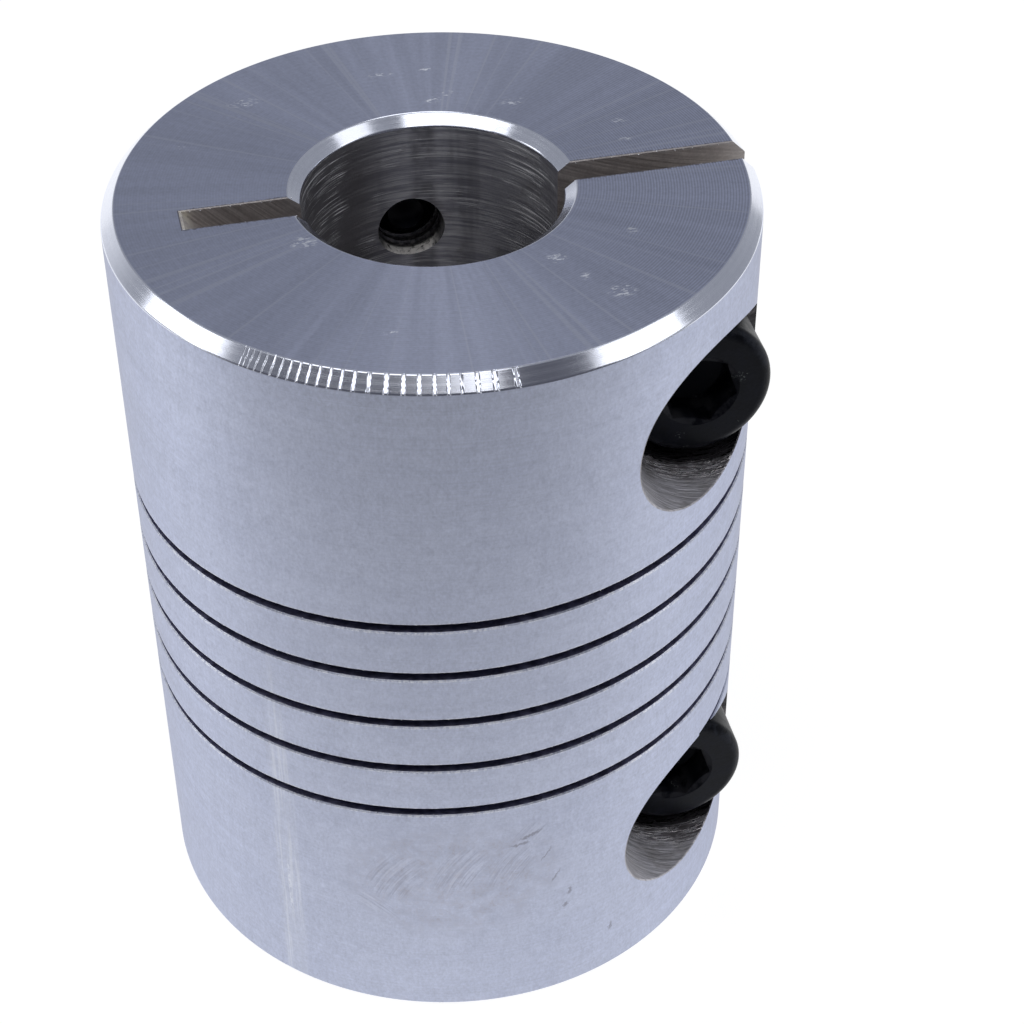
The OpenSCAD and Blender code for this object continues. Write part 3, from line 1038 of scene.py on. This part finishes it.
def burr_metal():
    made = Finish("burr_metal", Metallic=1.0, Roughness=0.3)
    fleck = made.spotted(12.0, 2, 0.6)
    made.base = made.blend((0.62, 0.62, 0.66), (0.95, 0.95, 0.98), fleck.ease(0.35, 0.65))
    return made.done(fleck.ease(0.3, 0.7, 0.2, 0.45))


# Scene round the object

# The camera as fitted to the photograph: its place, where it looks, and its focal length in picture widths
CAMERA_AT = Vector((-13.5555, -71.1783, 76.7772))
VIEW_TURN = radians(-13.0)
VIEW_RISE = 0.6946281573
VIEW_ROLL = -0.0047058955
FOCAL_WIDTHS = 2350.69 / 1024
SENSOR_WIDTH = 36.0
# Level directions from the object towards the front of the scene and towards its right back
FRONT = (sin(VIEW_TURN), -cos(VIEW_TURN), 0.0)
RIGHT_BACK = (cos(radians(32)), sin(radians(32)), 0.0)
# Painted shade on the floor in front of the object: distances from the axis where its tone starts and stops
# falling
FLOOR_SHADE_FADE = (22.0, 58.0)
FLOOR_SHADE_TONE = 0.33
FLOOR_HALF_SIDE = 3.0

# Lamps: turn and rise in degrees, distance, width and height in metres, radiance and roll in degrees.
# The turn is measured from the right of the scene's front.
SOFTBOXES = {
    "left": (178, 30, 0.45, 0.21, 0.14, 1.5, 0),
    "right": (-12, 36, 0.45, 0.20, 0.15, 1.6, 0),
    "front": (-108, 66, 0.6, 0.56, 0.19, 1.6, 0),
    "back": (84, 70, 0.5, 0.14, 0.12, 1.5, 0),
    "roof": (-140.6, 75.9, 0.6, 0.56, 0.075, 1.6, 32),
    "right_roof": (4, 55.5, 0.5, 0.17, 0.15, 0.9, -40),
}


def photo_camera():
    lens = bpy.data.cameras.new("photo_camera")
    lens.sensor_width = SENSOR_WIDTH
    lens.lens = SENSOR_WIDTH * FOCAL_WIDTHS
    lens.clip_start = 0.002
    lens.clip_end = 50
    camera = new_object("photo_camera", lens)
    camera.matrix_world = (
        Matrix.Translation(CAMERA_AT * MM) @ Matrix.Rotation(VIEW_TURN, 4, "Z")
        @ Matrix.Rotation(pi / 2 - VIEW_RISE, 4, "X") @ Matrix.Rotation(VIEW_ROLL, 4, "Z")
    )
    bpy.context.scene.camera = camera


def softbox(name, turn, rise, distance, width, height, radiance, roll):
    """Soft light aimed at the middle of the object, not seen by the camera itself."""
    light = bpy.data.lights.new(name, "AREA")
    light.shape = "RECTANGLE"
    light.size = width
    light.size_y = height
    light.energy = radiance * pi * width * height
    lamp = new_object(name, light)
    heading = radians(turn) + VIEW_TURN
    rise = radians(rise)
    away = Vector((cos(heading) * cos(rise), sin(heading) * cos(rise), sin(rise)))
    rolled = Quaternion((0, 0, 1), radians(roll))
    lamp.location = Vector((0, 0, BODY_L / 2 * MM)) + away * distance
    lamp.rotation_euler = (away.to_track_quat("Z", "Y") @ rolled).to_euler()
    lamp.visible_camera = False


def pale_floor():
    """White floor that shows as white in the picture and in mirrors, and still takes the object's shadow. In
    front of the object it is painted darker as shade.
    """
    side = FLOOR_HALF_SIDE
    mesh = bpy.data.meshes.new("pale_floor")
    corners = [(-side, -side, 0), (side, -side, 0), (side, side, 0), (-side, side, 0)]
    mesh.from_pydata(corners, [], [(0, 1, 2, 3)])
    floor = new_object("pale_floor", mesh)
    paint = bpy.data.materials.new("pale_floor")
    made = Wiring(paint)
    place = made.add("ShaderNodeTexCoord", output="Object")
    # Painted shade: the floor's tone falls in front of the object
    tone = made.facing(place, FRONT).ease(FLOOR_SHADE_FADE[0] * MM, FLOOR_SHADE_FADE[1] * MM, 1.0, FLOOR_SHADE_TONE)
    matt = made.add("ShaderNodeBsdfDiffuse", {"Color": made.scaled((0.88, 0.88, 0.89), tone)})
    glow = made.add("ShaderNodeEmission", {"Color": made.scaled((0.91, 0.91, 0.91), tone)})
    lit = made.add("ShaderNodeBsdfDiffuse", {"Color": made.scaled((0.22, 0.22, 0.22), tone)})
    white = made.add("ShaderNodeAddShader", {0: glow, 1: lit})
    rays = made.node("ShaderNodeLightPath").outputs
    kinds = ("Is Camera Ray", "Is Glossy Ray", "Is Transmission Ray")
    camera, glossy, through = (Value(made, rays[kind]) for kind in kinds)
    seen = made.larger(made.larger(camera, glossy), through)
    mixed = made.add("ShaderNodeMixShader", {0: seen, 1: matt, 2: white})
    made.node("ShaderNodeOutputMaterial", {"Surface": mixed})
    mesh.materials.append(paint)


def studio_world():
    """A pale room that is darker overhead, with a dark front from which the picture is taken."""
    world = bpy.data.worlds.new("studio")
    made = Wiring(world)
    way = made.add("ShaderNodeTexCoord", output="Generated")
    up = made.parts(way)[2]
    behind = made.facing(way, RIGHT_BACK).ease(0.35, 0.75)
    low = made.blend((0.72, 0.73, 0.76), (0.36, 0.37, 0.40), behind)
    room = made.blend(low, (0.29, 0.30, 0.33), up.ease(0.02, 0.34))
    tone = made.blend(room, (0.085, 0.087, 0.105), made.facing(way, FRONT).ease(0.14, 0.46))
    back = made.add("ShaderNodeBackground", {"Color": tone})
    made.node("ShaderNodeOutputWorld", {"Surface": back})
    bpy.context.scene.world = world


# Making of the object and its surroundings

photo_camera()
pale_floor()
studio_world()
for side, values in SOFTBOXES.items():
    softbox(f"{side}_softbox", *values)
bpy.context.scene.view_settings.view_transform = "Standard"

BODY_FINISHES = [turned_side(), faced_end(), bright_bevel(), bored_wall(),
                 sawn_slit(), spiral_wall(), milled_pocket(), tapped_hole()]

body = machined_body()
smooth_normals(body.data, body_axis)
finished(body, BODY_FINISHES)
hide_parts("coupling_body")
edge_burrs()

SCREWS = [
    ("upper_cap_screw", "clamp_screw_top", cap_screw, SCREW_X, SCREW_HEIGHTS["upper"]),
    ("lower_cap_screw", "clamp_screw_bottom", cap_screw, SCREW_X, SCREW_HEIGHTS["lower"]),
    ("upper_set_screw", "set_screw_top", set_screw, 0.0, SET_HEIGHTS["upper"]),
    ("lower_set_screw", "set_screw_bottom", set_screw, 0.0, SET_HEIGHTS["lower"]),
]
for name, node, make, x, height in SCREWS:
    screw = make(name, x, height)
    smooth_normals(screw.data, screw_axis(x, height))
    finished(screw, [black_oxide(f"{name}_black", x, height, make is cap_screw)])
    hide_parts(node)
